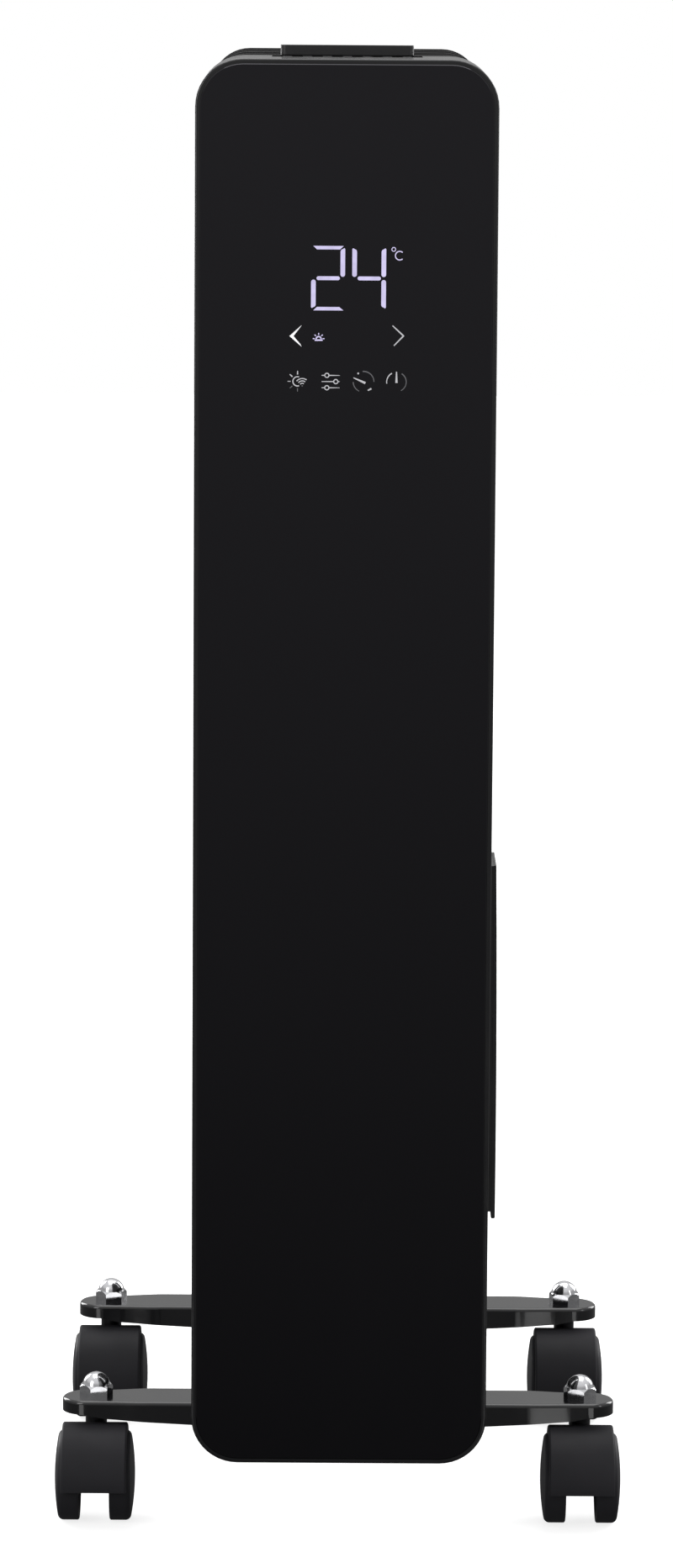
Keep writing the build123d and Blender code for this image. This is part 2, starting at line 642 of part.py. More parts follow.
def make_foot_bracket(d):
    """A pressed steel cross bracket: a channel open below, with a hole for a caster at each end."""
    edge_mid, edge_knee, edge_end = 43.5, 45.8, 47.5
    front_view = bracket_side(0, edge_mid, edge_knee, edge_end)
    outer = extrude(bracket_plan(0), amount=80) & extrude(front_view, 40, both=True)
    rims = [e for e in outer.edges() if e.bounding_box().min.Z > PAD_Z - 0.01
            and e.bounding_box().size.X > 3 and abs(e.center().Y) > 5
            or e.bounding_box().min.Z > PAD_Z - 0.01 and abs(e.center().X) > BRACKET_L / 2 - 8]
    outer = fillet(rims, 1.6)
    hollow_view = bracket_side(PLATE_T, 20, 20, 20)
    inner = extrude(bracket_plan(PLATE_T), amount=80) & extrude(hollow_view, 40, both=True)
    bracket = Pos(0, yd(d - BRACKET_AHEAD), 0) * (outer - inner)
    for x in (-STEM_X, STEM_X):
        bracket -= rod_z(x, d, STUD_R + 0.1, 40, 60)
    for x in (-U_BOLT_R, U_BOLT_R):
        bracket -= rod_z(x, d, U_WIRE_R + 0.2, 40, 60)
    return bracket


def make_u_bolt(d):
    """The U bolt that hangs a bracket from the collar between two fins."""
    low = 44.0
    with BuildPart() as bolt:
        with BuildLine() as path:
            l1 = Line((-U_BOLT_R, yd(d), low), (-U_BOLT_R, yd(d), LOWER_HUB_Z))
            l2 = ThreePointArc(l1 @ 1, (0, yd(d), LOWER_HUB_Z + U_BOLT_R), (U_BOLT_R, yd(d), LOWER_HUB_Z))
            Line(l2 @ 1, (U_BOLT_R, yd(d), low))
        with BuildSketch(Plane(path.line @ 0, z_dir=path.line % 0)):
            Circle(U_WIRE_R)
        sweep()
    return bolt.part


def make_wing_nuts(d):
    """The two wing nuts that pull a bracket up."""
    nuts = []
    for x in (-U_BOLT_R, U_BOLT_R):
        top = MID_Z - PLATE_T
        nut = rod_z(x, d, 5.0, top - 6, top)
        nut += box(x - 10, x + 10, d - 1.2, d + 1.2, top - 8.5, top - 1)
        nuts.append(nut - rod_z(x, d, U_WIRE_R, top - 10, top + 1))
    return nuts


# ---------------------------------------------------------------- casters
def make_stem(x, d):
    """A caster's spindle: a bearing below, a collar under the bracket and a stud through it."""
    stem = rod_z(x, d, SPINDLE_R, SOCKET_FLOOR + 0.3, SEAT_Z + 0.1)
    stem += rod_z(x, d, COLLAR_STEM_R, SEAT_Z + 0.1, PAD_Z - PLATE_T)
    return stem + rod_z(x, d, STUD_R, PAD_Z - PLATE_T, STUD_TOP)


def make_cap_nut(x, d):
    """A domed cap nut on a caster's stud."""
    across_flats, hex_h, dome_r = 13.0, 4.4, 6.2
    dome_z = 3.6
    corner_r = across_flats / 2 / math.cos(math.radians(30))
    turn = 12.0 if x < 0 else -18.0
    prism = extrude(Rot(0, 0, turn) * RegularPolygon(corner_r, 6), amount=hex_h)
    cone = Cone(corner_r + 2.2, corner_r - 0.9, hex_h, align=(Align.CENTER, Align.CENTER, Align.MIN))
    nut = prism & cone
    dome = Pos(0, 0, dome_z) * Sphere(dome_r)
    neck = Cylinder(dome_r, dome_z, align=(Align.CENTER, Align.CENTER, Align.MIN))
    nut = Pos(x, yd(d), PAD_Z) * (nut + neck + dome)
    nut -= box(x - 9, x + 9, d - 9, d + 9, PAD_Z - 8, PAD_Z)
    return nut - rod_z(x, d, STUD_R, PAD_Z - 1, STUD_TOP)


def hood_side():
    """The caster hood seen from the side, with the wheel axis at the origin: round over the wheels, cut off below."""
    front = -math.sqrt(HOOD_R ** 2 - HOOD_LOW ** 2)
    rear = TRAIL + BOSS_R + 1.2
    rear_z = math.sqrt(HOOD_R ** 2 - rear ** 2)
    with BuildSketch(Plane.YZ) as side:
        with BuildLine():
            ThreePointArc((front, HOOD_LOW), (0, HOOD_R), (rear, rear_z))
            Polyline((rear, rear_z), (rear, 2.0), (rear - 4.5, -5.0), (-6, -5.0), (-20, HOOD_LOW), (front, HOOD_LOW))
        make_face()
    return side.sketch


def make_hood(x, d):
    """A caster's hood: a cover over two wheels with a middle web that holds the axle and the spindle's socket."""
    axis_d = d - TRAIL
    cover = extrude(hood_side(), HOOD_W / 2, both=True)
    crown = [e for e in cover.edges().filter_by(GeomType.CIRCLE) if e.radius > HOOD_R - 0.1]
    cover = fillet(crown, 1.0)
    tyre_room = WHEEL_R + 0.8
    web = WHEEL_IN - 0.4
    for side in (-1, 1):
        cover -= Pos(side * (15 + web), 0, 0) * Rot(0, 90, 0) * Cylinder(tyre_room, 30)
        cover -= Pos(side * (15 + web), 10, -14) * Box(30, 44, 28)
    hood = Pos(x, yd(axis_d), WHEEL_R) * cover
    hood += rod_z(x, d, BOSS_R, SOCKET_FLOOR + 1, BOSS_TOP)
    hood -= rod_z(x, d, SPINDLE_R + RUNNING, SOCKET_FLOOR, SEAT_Z + 1)
    hood -= rod_z(x, d, COLLAR_STEM_R + 0.5, SEAT_Z, SEAT_Z + 6)
    return hood - rod_x(axis_d, WHEEL_R, AXLE_R, x - 20, x + 20)


def make_axle(x, d):
    """The steel axle held in the hood's web."""
    return rod_x(d - TRAIL, WHEEL_R, AXLE_R, x - 14.6, x + 14.6)


def make_wheel(x, d, side):
    """A hollow wheel with six ribs and a domed outer face, blind bored for the axle."""
    bore_r = AXLE_R + RUNNING
    with BuildSketch(Plane.XY) as section:
        with BuildLine():
            Polyline((WHEEL_IN, bore_r), (WHEEL_IN, 5.5), (13.2, 5.0), (13.2, 16.4), (WHEEL_IN, 17.3),
                     (WHEEL_IN, WHEEL_R - 0.5), (WHEEL_IN + 0.5, WHEEL_R), (13.9, WHEEL_R))
            ThreePointArc((13.9, WHEEL_R), (15.5, WHEEL_R - 0.7), (16.3, WHEEL_R - 2.2))
            ThreePointArc((16.3, WHEEL_R - 2.2), (17.35, 10.0), (WHEEL_OUT, 1.0))
            Polyline((WHEEL_OUT, 1.0), (WHEEL_OUT, 0), (15.0, 0), (15.0, bore_r), (WHEEL_IN, bore_r))
        make_face()
    wheel = revolve(section.sketch, Axis.X)
    for i in range(6):
        wheel += Rot(60 * i, 0, 0) * Pos(10.3, 0, 11.2) * Box(6.5, 1.2, 13.4)
    if side < 0:
        wheel = mirror(wheel, about=Plane.YZ)
    return Pos(x, yd(d - TRAIL), WHEEL_R) * wheel


# ---------------------------------------------------------------- write every sub-part
os.makedirs("parts", exist_ok=True)

blank_fin = make_fin()
for number, fin_d in enumerate(FIN_D, start=1):
    write(f"fin_{number}", Pos(0, yd(fin_d), 0) * blank_fin)
group("upper_collars", make_collars(UPPER_HUB_Z))
group("lower_collars", make_collars(LOWER_HUB_Z))
group("upper_plugs", [make_plug(64.0, FIN_D[0] - HUB_H, UPPER_HUB_Z, -1),
                      make_plug(FIN_D[-1] + HUB_H, FIN_D[-1] + HUB_H + 2.0, UPPER_HUB_Z, 1)])
write("oil_filler_plug", make_plug(FIN_D[-1] + HUB_H, FIN_D[-1] + HUB_H + 2.0, LOWER_HUB_Z, 1))
write("heating_element", make_heating_element())
write("element_flange", make_element_flange())
write("element_gasket", make_element_gasket())

write("touch_glass", make_glass())
write("glass_bezel", make_bezel())
write("control_housing", make_housing())
write("cable_gland", make_gland())
write("rear_cover", make_rear_cover())
group("rear_cover_screws", make_cover_screws())
group("cover_spacers", make_spacers())

write("cord_bay", make_cord_bay())
write("cord_door", make_cord_door())
write("cord_door_pin", make_door_pin())

write("display_board", make_display_board())
write("display_reflector", make_display_reflector())
group("touch_springs", make_touch_springs())
write("power_board", make_power_board())
group("power_board_parts", make_board_parts())
write("terminal_block", make_terminal_block())
write("room_sensor", make_room_sensor())
write("thermal_cutout", make_thermal_cutout())
write("tip_switch_cage", make_tip_bracket())
write("tip_pendulum", make_tip_pendulum())
write("tip_microswitch", make_tip_microswitch())

write("handle", make_handle())
write("handle_bracket", make_handle_bracket())
group("handle_screws", make_handle_screws())

for end, foot_d in (("front", FRONT_FOOT_D), ("rear", REAR_FOOT_D)):
    write(f"{end}_foot_bracket", make_foot_bracket(foot_d))
group("u_bolts", [make_u_bolt(foot_d) for foot_d in FEET_D])
group("wing_nuts", [nut for foot_d in FEET_D for nut in make_wing_nuts(foot_d)])

group("caster_stems", [make_stem(x, d) for x, d in CORNERS.values()])
group("cap_nuts", [make_cap_nut(x, d) for x, d in CORNERS.values()])
for corner, (x, d) in CORNERS.items():
    write(f"caster_{corner}", make_hood(x, d))
    write(f"axle_{corner}", make_axle(x, d))
    for side_name, side in (("left", -1), ("right", 1)):
        write(f"wheel_{corner}_{side_name}", make_wheel(x, d, side))
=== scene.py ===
import bpy
import bmesh
import json
import math
from mathutils import Matrix, Vector


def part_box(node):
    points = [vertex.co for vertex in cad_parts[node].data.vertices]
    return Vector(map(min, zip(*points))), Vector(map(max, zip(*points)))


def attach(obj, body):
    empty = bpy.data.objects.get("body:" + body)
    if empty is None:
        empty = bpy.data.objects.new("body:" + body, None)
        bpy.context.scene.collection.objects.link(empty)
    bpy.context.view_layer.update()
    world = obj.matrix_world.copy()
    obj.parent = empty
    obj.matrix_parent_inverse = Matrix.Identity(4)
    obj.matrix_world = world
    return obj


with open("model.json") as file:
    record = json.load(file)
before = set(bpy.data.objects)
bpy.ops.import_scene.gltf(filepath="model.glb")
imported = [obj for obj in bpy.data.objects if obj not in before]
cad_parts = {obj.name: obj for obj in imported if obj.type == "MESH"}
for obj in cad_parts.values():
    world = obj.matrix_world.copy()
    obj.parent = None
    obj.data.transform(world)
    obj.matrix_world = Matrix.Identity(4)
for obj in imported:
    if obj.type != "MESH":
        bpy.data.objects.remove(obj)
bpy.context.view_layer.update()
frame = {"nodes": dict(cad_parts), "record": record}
nodes = frame["nodes"]
MM = 0.001

# ---------------------------------------------------------------- materials
COAT_ROUGHNESS = 0.05
GRAIN_DEPTH, COARSE_GRAIN_DEPTH = 0.00012, 0.0002      # moulded plastic
PEEL_DEPTH, FINE_PEEL_DEPTH = 0.00015, 0.00004         # paint
MARK_DEPTH = 0.00005                                   # drawn or plated metal
WAVE_DEPTH = 0.0002                                    # glass


def shader_of(material):
    return material.node_tree.nodes["Principled BSDF"]


def principled(name, color, roughness, metallic=0.0, specular=0.5, coat=0.0):
    """A new material with its shader's constants set."""
    material = bpy.data.materials.new(name)
    material.use_nodes = True
    shader = shader_of(material)
    shader.inputs["Base Color"].default_value = (*color, 1.0)
    shader.inputs["Roughness"].default_value = roughness
    shader.inputs["Metallic"].default_value = metallic
    shader.inputs["Specular IOR Level"].default_value = specular
    shader.inputs["Coat Weight"].default_value = coat
    shader.inputs["Coat Roughness"].default_value = COAT_ROUGHNESS
    return material


def add(material, kind, **values):
    """A node of that kind, with some of its inputs or properties set."""
    node = material.node_tree.nodes.new(kind)
    for key, value in values.items():
        if key in node.inputs:
            node.inputs[key].default_value = value
        else:
            setattr(node, key, value)
    return node


def link(material, out, into):
    material.node_tree.links.new(out, into)


def noise(material, scale, detail=4.0, roughness=0.55, stretch=(1, 1, 1)):
    """Noise in object coordinates, which are metres."""
    place = add(material, "ShaderNodeTexCoord")
    mapping = add(material, "ShaderNodeMapping")
    mapping.inputs["Scale"].default_value = stretch
    link(material, place.outputs["Object"], mapping.inputs["Vector"])
    texture = add(material, "ShaderNodeTexNoise", Scale=scale, Detail=detail, Roughness=roughness)
    link(material, mapping.outputs["Vector"], texture.inputs["Vector"])
    return texture.outputs["Fac"]


def spread(material, value, low, high):
    """Noise, which keeps mostly to 0.3 to 0.7, remapped to a range."""
    node = add(material, "ShaderNodeMapRange")
    node.inputs["From Min"].default_value = 0.3
    node.inputs["From Max"].default_value = 0.7
    node.inputs["To Min"].default_value = low
    node.inputs["To Max"].default_value = high
    link(material, value, node.inputs["Value"])
    return node.outputs["Result"]


def tint(material, value, dark, light):
    """Base colour varied between two colours."""
    mix = add(material, "ShaderNodeMix", data_type="RGBA")
    mix.inputs["A"].default_value = (*dark, 1.0)
    mix.inputs["B"].default_value = (*light, 1.0)
    link(material, value, mix.inputs["Factor"])
    link(material, mix.outputs["Result"], shader_of(material).inputs["Base Color"])


def bump(material, layers):
    """Bump from several (height, strength, distance) layers, one on top of another."""
    normal = None
    for height, strength, distance in layers:
        node = add(material, "ShaderNodeBump", Strength=strength, Distance=distance)
        link(material, height, node.inputs["Height"])
        if normal is not None:
            link(material, normal, node.inputs["Normal"])
        normal = node.outputs["Normal"]
    link(material, normal, shader_of(material).inputs["Normal"])


def rough(material, value):
    link(material, value, shader_of(material).inputs["Roughness"])


def moulded(name, dark, light, roughness, grain, strength, specular=0.4):
    """Moulded plastic: an even spark-eroded grain, with slow changes of shade and shine."""
    m = principled(name, light, roughness, specular=specular)
    tint(m, spread(m, noise(m, 18, 3), 0, 1), dark, light)
    rough(m, spread(m, noise(m, 60, 4), roughness - 0.05, roughness + 0.07))
    bump(m, [(noise(m, grain, 3, 0.6), strength, GRAIN_DEPTH),
             (noise(m, grain * 0.31, 2), strength * 0.5, COARSE_GRAIN_DEPTH)])
    return m


def painted(name, dark, light, roughness, peel, strength, coat=0.0):
    """Stoved paint: orange peel under a slowly varying shine."""
    m = principled(name, light, roughness, coat=coat)
    tint(m, spread(m, noise(m, 9, 3), 0, 1), dark, light)
    rough(m, spread(m, noise(m, 35, 5), roughness - 0.05, roughness + 0.08))
    bump(m, [(noise(m, peel, 2, 0.5), strength, PEEL_DEPTH),
             (noise(m, peel * 5, 2, 0.5), strength * 0.4, FINE_PEEL_DEPTH)])
    return m


def metal(name, dark, light, roughness, stretch, scale, strength):
    """Bare or plated metal with fine marks along one direction."""
    m = principled(name, light, roughness, metallic=1.0)
    marks = noise(m, scale, 6, 0.6, stretch)
    tint(m, spread(m, marks, 0, 1), dark, light)
    rough(m, spread(m, marks, roughness - 0.04, roughness + 0.1))
    bump(m, [(marks, strength, MARK_DEPTH)])
    return m


def glass_black():
    """Back painted touch glass: a deep, slightly violet black with a polished face and faint wiping marks."""
    m = principled("touch_glass", (0.0012, 0.0012, 0.0015), 0.10, specular=0.42)
    shader_of(m).inputs["Specular Tint"].default_value = (0.93, 0.90, 1.0, 1.0)
    tint(m, spread(m, noise(m, 6, 3), 0, 1), (0.0006, 0.0006, 0.0008), (0.0010, 0.0010, 0.0012))
    rough(m, spread(m, noise(m, 30, 5, 0.6, (1, 1, 0.25)), 0.09, 0.15))
    bump(m, [(noise(m, 12, 2), 0.01, WAVE_DEPTH)])
    return m


def lit(name, color):
    """A printed symbol lit from behind, a little uneven from its light guide."""
    m = principled(name, (0.05, 0.05, 0.055), 0.4, specular=0.2)
    shader_of(m).inputs["Emission Color"].default_value = (*color, 1.0)
    link(m, spread(m, noise(m, 220, 2), 0.9, 1.1), shader_of(m).inputs["Emission Strength"])
    tint(m, spread(m, noise(m, 500, 2), 0, 1), (0.04, 0.04, 0.045), (0.06, 0.06, 0.065))
    return m


# A slot's maker and the two shades that it varies between, then, after its roughness:
# moulded has its grain's scale and strength, and some have a specular level,
# painted has its orange peel's scale and strength, and one has a clear coat,
# metal has its marks' stretch, scale and strength.
SLOTS = [
    (painted, "fin_paint", (0.015, 0.015, 0.016), (0.021, 0.021, 0.022), 0.32, 300, 0.04),
    (painted, "collar_paint", (0.012, 0.012, 0.013), (0.017, 0.017, 0.018), 0.40, 420, 0.12),
    (painted, "bracket_paint", (0.004, 0.004, 0.005), (0.007, 0.007, 0.008), 0.12, 260, 0.05, 0.3),
    (moulded, "bezel_plastic", (0.006, 0.006, 0.007), (0.009, 0.009, 0.010), 0.17, 1500, 0.015, 0.5),
    (moulded, "housing_plastic", (0.009, 0.009, 0.010), (0.013, 0.013, 0.014), 0.24, 2600, 0.025, 0.5),
    (moulded, "handle_plastic", (0.018, 0.018, 0.019), (0.025, 0.025, 0.026), 0.42, 2300, 0.25),
    (moulded, "caster_plastic", (0.018, 0.018, 0.020), (0.027, 0.026, 0.030), 0.50, 1700, 0.25, 0.12),
    (moulded, "wheel_plastic", (0.019, 0.019, 0.021), (0.028, 0.027, 0.031), 0.46, 1500, 0.22, 0.15),
    (metal, "stem_black", (0.030, 0.030, 0.031), (0.055, 0.055, 0.058), 0.38, (1, 1, 4), 240, 0.12),
    (moulded, "gland_rubber", (0.010, 0.010, 0.010), (0.015, 0.015, 0.015), 0.62, 1800, 0.3),
    (moulded, "gasket_rubber", (0.20, 0.05, 0.03), (0.27, 0.07, 0.04), 0.6, 1500, 0.2),
    (metal, "chrome_nut", (0.60, 0.60, 0.62), (0.70, 0.70, 0.72), 0.10, (1, 1, 1), 300, 0.05),
    (metal, "zinc_steel", (0.42, 0.43, 0.45), (0.58, 0.58, 0.58), 0.30, (1, 1, 5), 260, 0.12),
    (painted, "cover_steel", (0.014, 0.014, 0.015), (0.020, 0.020, 0.021), 0.42, 500, 0.1),
    (metal, "element_steel", (0.28, 0.26, 0.23), (0.42, 0.40, 0.36), 0.35, (4, 1, 4), 200, 0.15),
    (metal, "brass_plug", (0.28, 0.19, 0.075), (0.42, 0.30, 0.13), 0.34, (1, 4, 1), 240, 0.12),
    (moulded, "board_green", (0.012, 0.08, 0.035), (0.018, 0.11, 0.05), 0.35, 900, 0.08),
    (moulded, "board_parts", (0.03, 0.03, 0.035), (0.05, 0.05, 0.06), 0.45, 1500, 0.15),
    (moulded, "reflector_white", (0.68, 0.68, 0.68), (0.8, 0.8, 0.8), 0.5, 1500, 0.1),
    (moulded, "terminal_plastic", (0.55, 0.53, 0.46), (0.68, 0.66, 0.58), 0.45, 1500, 0.12),
    (metal, "pendulum_steel", (0.35, 0.35, 0.35), (0.5, 0.5, 0.5), 0.3, (1, 5, 1), 260, 0.12),
]
LOOKS = {name: make(name, *values) for make, name, *values in SLOTS}
LOOKS["glass_black"] = glass_black()

for entry in frame["record"]["subparts"]:
    thing = nodes[entry["node"]]
    thing.data.materials.clear()
    thing.data.materials.append(LOOKS[entry["material_slot"]])


# ---------------------------------------------------------------- flat symbols on the glass
GLASS_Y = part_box("touch_glass")[0].y
PRINT_FRONT = GLASS_Y - 0.03 * MM
PRINT_BACK = GLASS_Y + 0.02 * MM


def arc(x, z, r, a0, a1, steps=24):
    """Points along an arc, in degrees, anticlockwise from +X."""
    span = [math.radians(a0 + (a1 - a0) * i / steps) for i in range(steps + 1)]
    return [(x + r * math.cos(t), z + r * math.sin(t)) for t in span]


def stroke(points, width, end_width=None):
    """A line of that width, in millimetres, as a closed outline, narrowing to end_width."""
    end_width = width if end_width is None else end_width
    left, right = [], []
    last = len(points) - 1
    for i, (x, z) in enumerate(points):
        ax, az = points[max(i - 1, 0)]
        bx, bz = points[min(i + 1, last)]
        length = math.hypot(bx - ax, bz - az)
        nx, nz = -(bz - az) / length, (bx - ax) / length
        half = (width + (end_width - width) * i / last) / 2
        left.append((x + nx * half, z + nz * half))
        right.append((x - nx * half, z - nz * half))
    return left + right[::-1]


def ring(x, z, r, width):
    """A ring as two half strokes, so that each outline is simple."""
    return [stroke(arc(x, z, r, 0, 180), width), stroke(arc(x, z, r, 180, 360), width)]


def ray(x, z, angle, r0, r1, width, end_width=None):
    """A short line that points away from (x, z)."""
    c, s = math.cos(math.radians(angle)), math.sin(math.radians(angle))
    return stroke([(x + c * r0, z + s * r0), (x + c * r1, z + s * r1)], width, end_width)


def symbols(name, outlines, material):
    """Closed outlines in X and Z, in millimetres, as one thin print on the glass."""
    mesh = bpy.data.meshes.new(name)
    bm = bmesh.new()
    for outline in outlines:
        front = [bm.verts.new((x * MM, PRINT_FRONT, z * MM)) for x, z in outline]
        back = [bm.verts.new((x * MM, PRINT_BACK, z * MM)) for x, z in outline]
        bm.faces.new(front)
        bm.faces.new(back[::-1])
        count = len(outline)
        for i in range(count):
            j = (i + 1) % count
            bm.faces.new((front[i], back[i], back[j], front[j]))
    bmesh.ops.recalc_face_normals(bm, faces=bm.faces)
    bm.to_mesh(mesh)
    bm.free()
    mesh.materials.append(material)
    piece = bpy.data.objects.new(name, mesh)
    bpy.context.scene.collection.objects.link(piece)
    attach(piece, "heater")


# The digits: centre lines of their three rows, half their width, and their strokes' thickness.
DIGIT_TOP, DIGIT_MID, DIGIT_LOW = 570.45, 557.7, 544.95
DIGIT_HALF = 6.12
TALL_W, FLAT_W = 1.95, 1.45
MID_ROUND_R = 0.82
UPRIGHT_GAP = 1.6              # from the middle row to the centre of an upright's rounded end
MITRE_INNER = 1.55             # from the outer row to where an upright's mitre starts on its inner side


def upright(x, outer_side, row, away, row_gap):
    """An upright segment, rounded at the middle row and mitred at row.

    outer_side is 1 for a digit's right side and -1 for its left, and away is the way from row to the middle.
    """
    half = TALL_W / 2
    mitre = [(x - outer_side * half, row + away * MITRE_INNER),
             (x - outer_side * (half - 0.3), row + away * (row_gap + 0.7)),
             (x + outer_side * half * 0.7, row + away * row_gap),
             (x + outer_side * half, row + away * (row_gap + 0.4))]
    if outer_side != -away:
        mitre.reverse()
    middle = DIGIT_MID - away * UPRIGHT_GAP
    if away < 0:
        return mitre + arc(x, middle, half, 0, -180, 10)
    return arc(x, middle, half, 180, 0, 10) + mitre


def digit(cx, segments):
    """A seven segment digit's lit segments, with mitred outer corners and round inner ends."""
    left, right = cx - DIGIT_HALF, cx + DIGIT_HALF
    h = FLAT_W / 2
    shapes = {
        "top": [(left - 0.1, DIGIT_TOP + h), (right + 0.35, DIGIT_TOP + h),
                (right - 1.2, DIGIT_TOP - h), (left + 1.4, DIGIT_TOP - h)],
        "low": [(left, DIGIT_LOW - h), (left + 1.5, DIGIT_LOW + h),
                (right - 1.4, DIGIT_LOW + h), (right + 0.35, DIGIT_LOW - h)],
        "mid": arc(right - 2.0, DIGIT_MID, MID_ROUND_R, -90, 90, 8)
               + arc(left + 2.1, DIGIT_MID, MID_ROUND_R, 90, 270, 8),
        "top_right": upright(right, 1, DIGIT_TOP, -1, 0.15),
        "top_left": upright(left, -1, DIGIT_TOP, -1, 0.15),
        "low_right": upright(right, 1, DIGIT_LOW, 1, 0.25),
        "low_left": upright(left, -1, DIGIT_LOW, 1, 0.25),
    }
    return [shapes[s] for s in segments]


digits_white = lit("lit_digits", (0.62, 0.57, 0.84))
mark_white = lit("lit_marks", (0.96, 0.96, 0.98))
mark_grey = lit("lit_marks_soft", (0.50, 0.50, 0.52))
mark_dim = lit("lit_marks_dim", (0.10, 0.10, 0.105))

# Top to bottom: 24, the degree sign and the letter beside it, a small sunrise, two arrows, four keys.
TWO_X, FOUR_X = -7.55, 9.62
symbols("display_digits", digit(TWO_X, ("top", "top_right", "mid", "low_left", "low"))
        + digit(FOUR_X, ("top_left", "mid", "top_right", "low_right")), digits_white)
symbols("display_degree", ring(19.85, 569.9, 0.80, 0.36) + [stroke(arc(22.35, 567.3, 1.8, 48, 312), 0.45)],
        digits_white)

MODE_X = -11.35
symbols("display_mode", [stroke([(-13.0, 531.75), (-9.7, 531.75)], 0.62),
                         stroke(arc(MODE_X, 532.2, 1.05, 0, 180, 12), 0.55)]
        + [ray(MODE_X, 532.3, a, 1.65, 2.45, 0.42) for a in (2, 46, 90, 134, 178)], digits_white)

symbols("touch_less", [[(-18.5, 538.0), (-23.6, 533.4), (-18.5, 529.0),
                        (-18.9, 529.9), (-21.9, 533.4), (-18.9, 537.3)]], mark_white)
symbols("touch_more", [stroke([(19.6, 538.0), (24.2, 533.75)], 0.42, 0.62),
                       stroke([(24.35, 533.9), (20.2, 529.6)], 0.62, 0.4)], mark_grey)

SUN_X, SLIDER_X, DIAL_X, POWER_X, ROW_Z = -20.1, -6.3, 7.6, 21.4, 514.4
WAVES_X, WAVES_Z = SUN_X + 2.0, ROW_Z - 1.9            # where the waves in front of the sun start
symbols("touch_comfort", [stroke(arc(SUN_X, ROW_Z, 1.95, 70, 290), 0.45)]
        + [ray(SUN_X, ROW_Z, a, 2.9, 4.4, 0.55, 0.35) for a in (90, 138)]
        + [ray(SUN_X, ROW_Z, 180, 2.9, 4.2, 0.35, 0.25)]
        + [stroke(arc(WAVES_X, WAVES_Z, r, 55, 140, 12), 0.42) for r in (1.1, 2.1, 3.1)], mark_grey)
symbols("touch_comfort_dim", [ray(SUN_X, ROW_Z, a, 2.9, 4.3, 0.4, 0.3) for a in (222, 270)]
        + [ray(WAVES_X, WAVES_Z, 98, -0.2, 0.25, 0.5)], mark_dim)

# Three sliders: the height of each above the row's middle, and its knob's place.
KNOB_R, KNOB_CLEAR = 0.88, 1.1
sliders = []
for rise, knob in ((2.6, -1.5), (0.0, 2.25), (-2.6, -1.5)):
    z = ROW_Z + rise
    sliders += ring(SLIDER_X + knob, z, KNOB_R, 0.42)
    sliders.append(stroke([(SLIDER_X - 3.7, z), (SLIDER_X + knob - KNOB_CLEAR, z)], 0.3, 0.42))
    sliders.append(stroke([(SLIDER_X + knob + KNOB_CLEAR, z), (SLIDER_X + 3.9, z)], 0.42, 0.2))
symbols("touch_settings", sliders, mark_grey)

DIAL_R, POWER_R = 4.35, 4.1
symbols("touch_timer", [stroke([(DIAL_X + 0.75, ROW_Z - 0.55), (DIAL_X - 4.2, ROW_Z + 1.65)], 1.0, 0.35),
                        stroke([(DIAL_X + 1.8, ROW_Z - 3.65), (DIAL_X + 3.3, ROW_Z - 2.85)], 0.5, 0.75),
                        stroke(arc(DIAL_X - 2.25, ROW_Z + 3.5, 0.2, 0, 350, 12), 0.38)], mark_grey)
symbols("touch_timer_dim", [stroke(arc(DIAL_X, ROW_Z, DIAL_R, 95, 0), 0.5, 0.35),
                            stroke(arc(DIAL_X, ROW_Z, DIAL_R, 182, 245), 0.42, 0.3)], mark_dim)
symbols("touch_power", [stroke([(POWER_X, ROW_Z + 4.3), (POWER_X, ROW_Z - 0.4)], 0.45, 0.95),
                        stroke(arc(POWER_X, ROW_Z, POWER_R, 118, 190), 0.5, 0.35)], mark_grey)
symbols("touch_power_dim", [stroke(arc(POWER_X, ROW_Z, POWER_R, 58, -62), 0.45, 0.3)], mark_dim)


# ---------------------------------------------------------------- stage
FLOOR_HALF = 6
FLOOR_DROP = 0.0002            # keeps the wheels' lowest points clear of the floor's surface

paper = principled("paper", (0.5, 0.5, 0.5), 0.9, specular=0.1)
tint(paper, spread(paper, noise(paper, 3, 2), 0, 1), (0.46, 0.46, 0.46), (0.50, 0.50, 0.50))
shader_of(paper).inputs["Emission Color"].default_value = (1.0, 1.0, 1.0, 1.0)
shader_of(paper).inputs["Emission Strength"].default_value = 0.80

floor_mesh = bpy.data.meshes.new("floor")
corners = [(-FLOOR_HALF, -FLOOR_HALF, 0), (FLOOR_HALF, -FLOOR_HALF, 0),
           (FLOOR_HALF, FLOOR_HALF, 0), (-FLOOR_HALF, FLOOR_HALF, 0)]
floor_mesh.from_pydata(corners, [], [(0, 1, 2, 3)])
floor_mesh.materials.append(paper)
floor = bpy.data.objects.new("floor", floor_mesh)
bpy.context.scene.collection.objects.link(floor)
floor.location.z = -FLOOR_DROP
floor.visible_glossy = False
floor.visible_diffuse = False
floor.visible_shadow = False

# The studio: a white room for the camera. As light and in reflections it is white overhead,
# grey round the horizon and dark below it.
LEVEL_STRAIGHT_DOWN = 0.10
LEVELS = ((0.34, 0.04), (0.5, 0.5), (0.63, 0.42), (0.75, 0.8))     # 0.5 is the horizon, 1 straight up

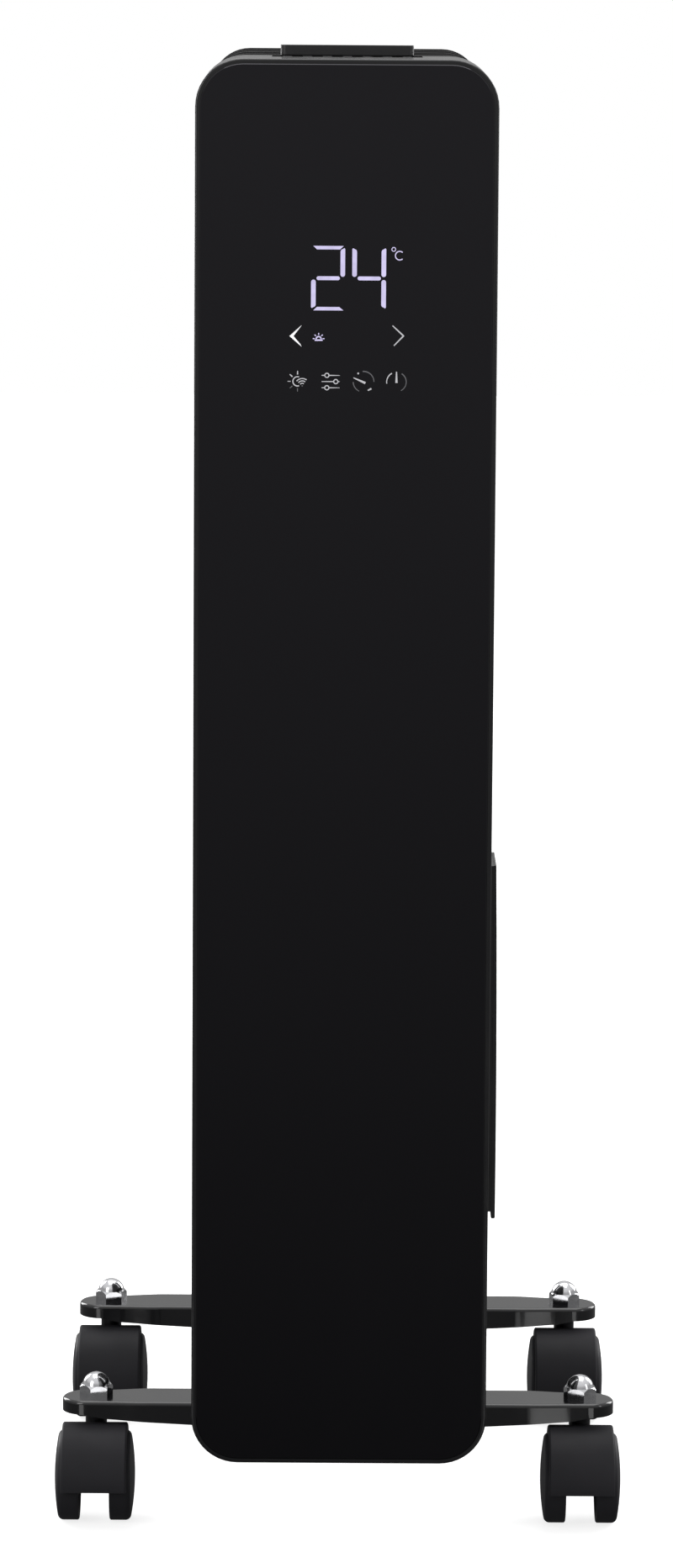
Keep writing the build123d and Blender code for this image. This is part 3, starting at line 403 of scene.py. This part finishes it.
world = bpy.data.worlds.new("studio")
bpy.context.scene.world = world
world.use_nodes = True
tree = world.node_tree
direction = tree.nodes.new("ShaderNodeTexCoord")
apart = tree.nodes.new("ShaderNodeSeparateXYZ")
tree.links.new(direction.outputs["Generated"], apart.inputs["Vector"])
height = tree.nodes.new("ShaderNodeMapRange")
height.inputs["From Min"].default_value = -1.0
tree.links.new(apart.outputs["Z"], height.inputs["Value"])
ramp = tree.nodes.new("ShaderNodeValToRGB")
for position, level in LEVELS:
    stop = ramp.color_ramp.elements.new(position)
    stop.color = (level, level, level, 1.0)
ramp.color_ramp.elements[0].color = (LEVEL_STRAIGHT_DOWN, LEVEL_STRAIGHT_DOWN, LEVEL_STRAIGHT_DOWN, 1.0)
tree.links.new(height.outputs["Result"], ramp.inputs["Fac"])
path = tree.nodes.new("ShaderNodeLightPath")
shown = tree.nodes.new("ShaderNodeMath")
shown.operation = "MAXIMUM"
tree.links.new(path.outputs["Is Camera Ray"], shown.inputs[0])
tree.links.new(ramp.outputs["Color"], shown.inputs[1])
tree.nodes["Background"].inputs["Color"].default_value = (1.0, 1.0, 1.0, 1.0)
tree.links.new(shown.outputs["Value"], tree.nodes["Background"].inputs["Strength"])


def softbox(name, at, look, size_x, size_y, power):
    light = bpy.data.lights.new(name, "AREA")
    light.shape = "RECTANGLE"
    light.size, light.size_y, light.energy = size_x, size_y, power
    piece = bpy.data.objects.new(name, light)
    piece.location = at
    piece.rotation_euler = (Vector(look) - Vector(at)).to_track_quat("-Z", "Y").to_euler()
    bpy.context.scene.collection.objects.link(piece)


softbox("top_box", (0, 0.3, 2.2), (0, 0, 0.3), 1.8, 1.8, 22)
softbox("left_box", (-1.3, -1.5, 0.95), (0, 0, 0.1), 0.8, 1.1, 9)
softbox("right_box", (1.7, -1.0, 0.8), (0, 0, 0.1), 0.3, 0.9, 3)
softbox("back_left_box", (-1.7, 1.7, 1.1), (0, 0.1, 0.35), 1.1, 1.5, 34)
softbox("back_right_box", (1.8, 1.5, 1.1), (0, 0.1, 0.35), 1.1, 1.5, 26)

# Two cards low in front, below the floor's level, for the nuts and the feet's polished ends to reflect.
for name, x, y in (("card_left", -0.60, -0.90), ("card_right", 0.38, -1.05)):
    softbox(name, (x, y, -0.22), (0, 0, 0.05), 0.34, 0.26, 0.4)


# ---------------------------------------------------------------- camera
PITCH, YAW, ROLL = 0.14894, -0.00158, -0.00658         # radians; the pitch looks down
CAMERA_AT = (-0.00651, GLASS_Y - 2.45364, 0.7118)
LENS = 134.34

forward, right, up = Vector((0, 1, 0)), Vector((1, 0, 0)), Vector((0, 0, 1))
turn = Matrix.Rotation(YAW, 3, "Z")
forward, right, up = turn @ forward, turn @ right, turn @ up
turn = Matrix.Rotation(-PITCH, 3, right)
forward, up = turn @ forward, turn @ up
turn = Matrix.Rotation(ROLL, 3, forward)
right, up = turn @ right, turn @ up

camera = bpy.data.objects.new("camera", bpy.data.cameras.new("camera"))
camera.data.lens = LENS
camera.data.sensor_width = 36.0
camera.data.clip_end = 50
axes = Matrix((right, up, -forward)).transposed().to_4x4()
camera.matrix_world = Matrix.Translation(CAMERA_AT) @ axes
bpy.context.scene.collection.objects.link(camera)
bpy.context.scene.camera = camera
bpy.context.scene.view_settings.view_transform = "Standard"
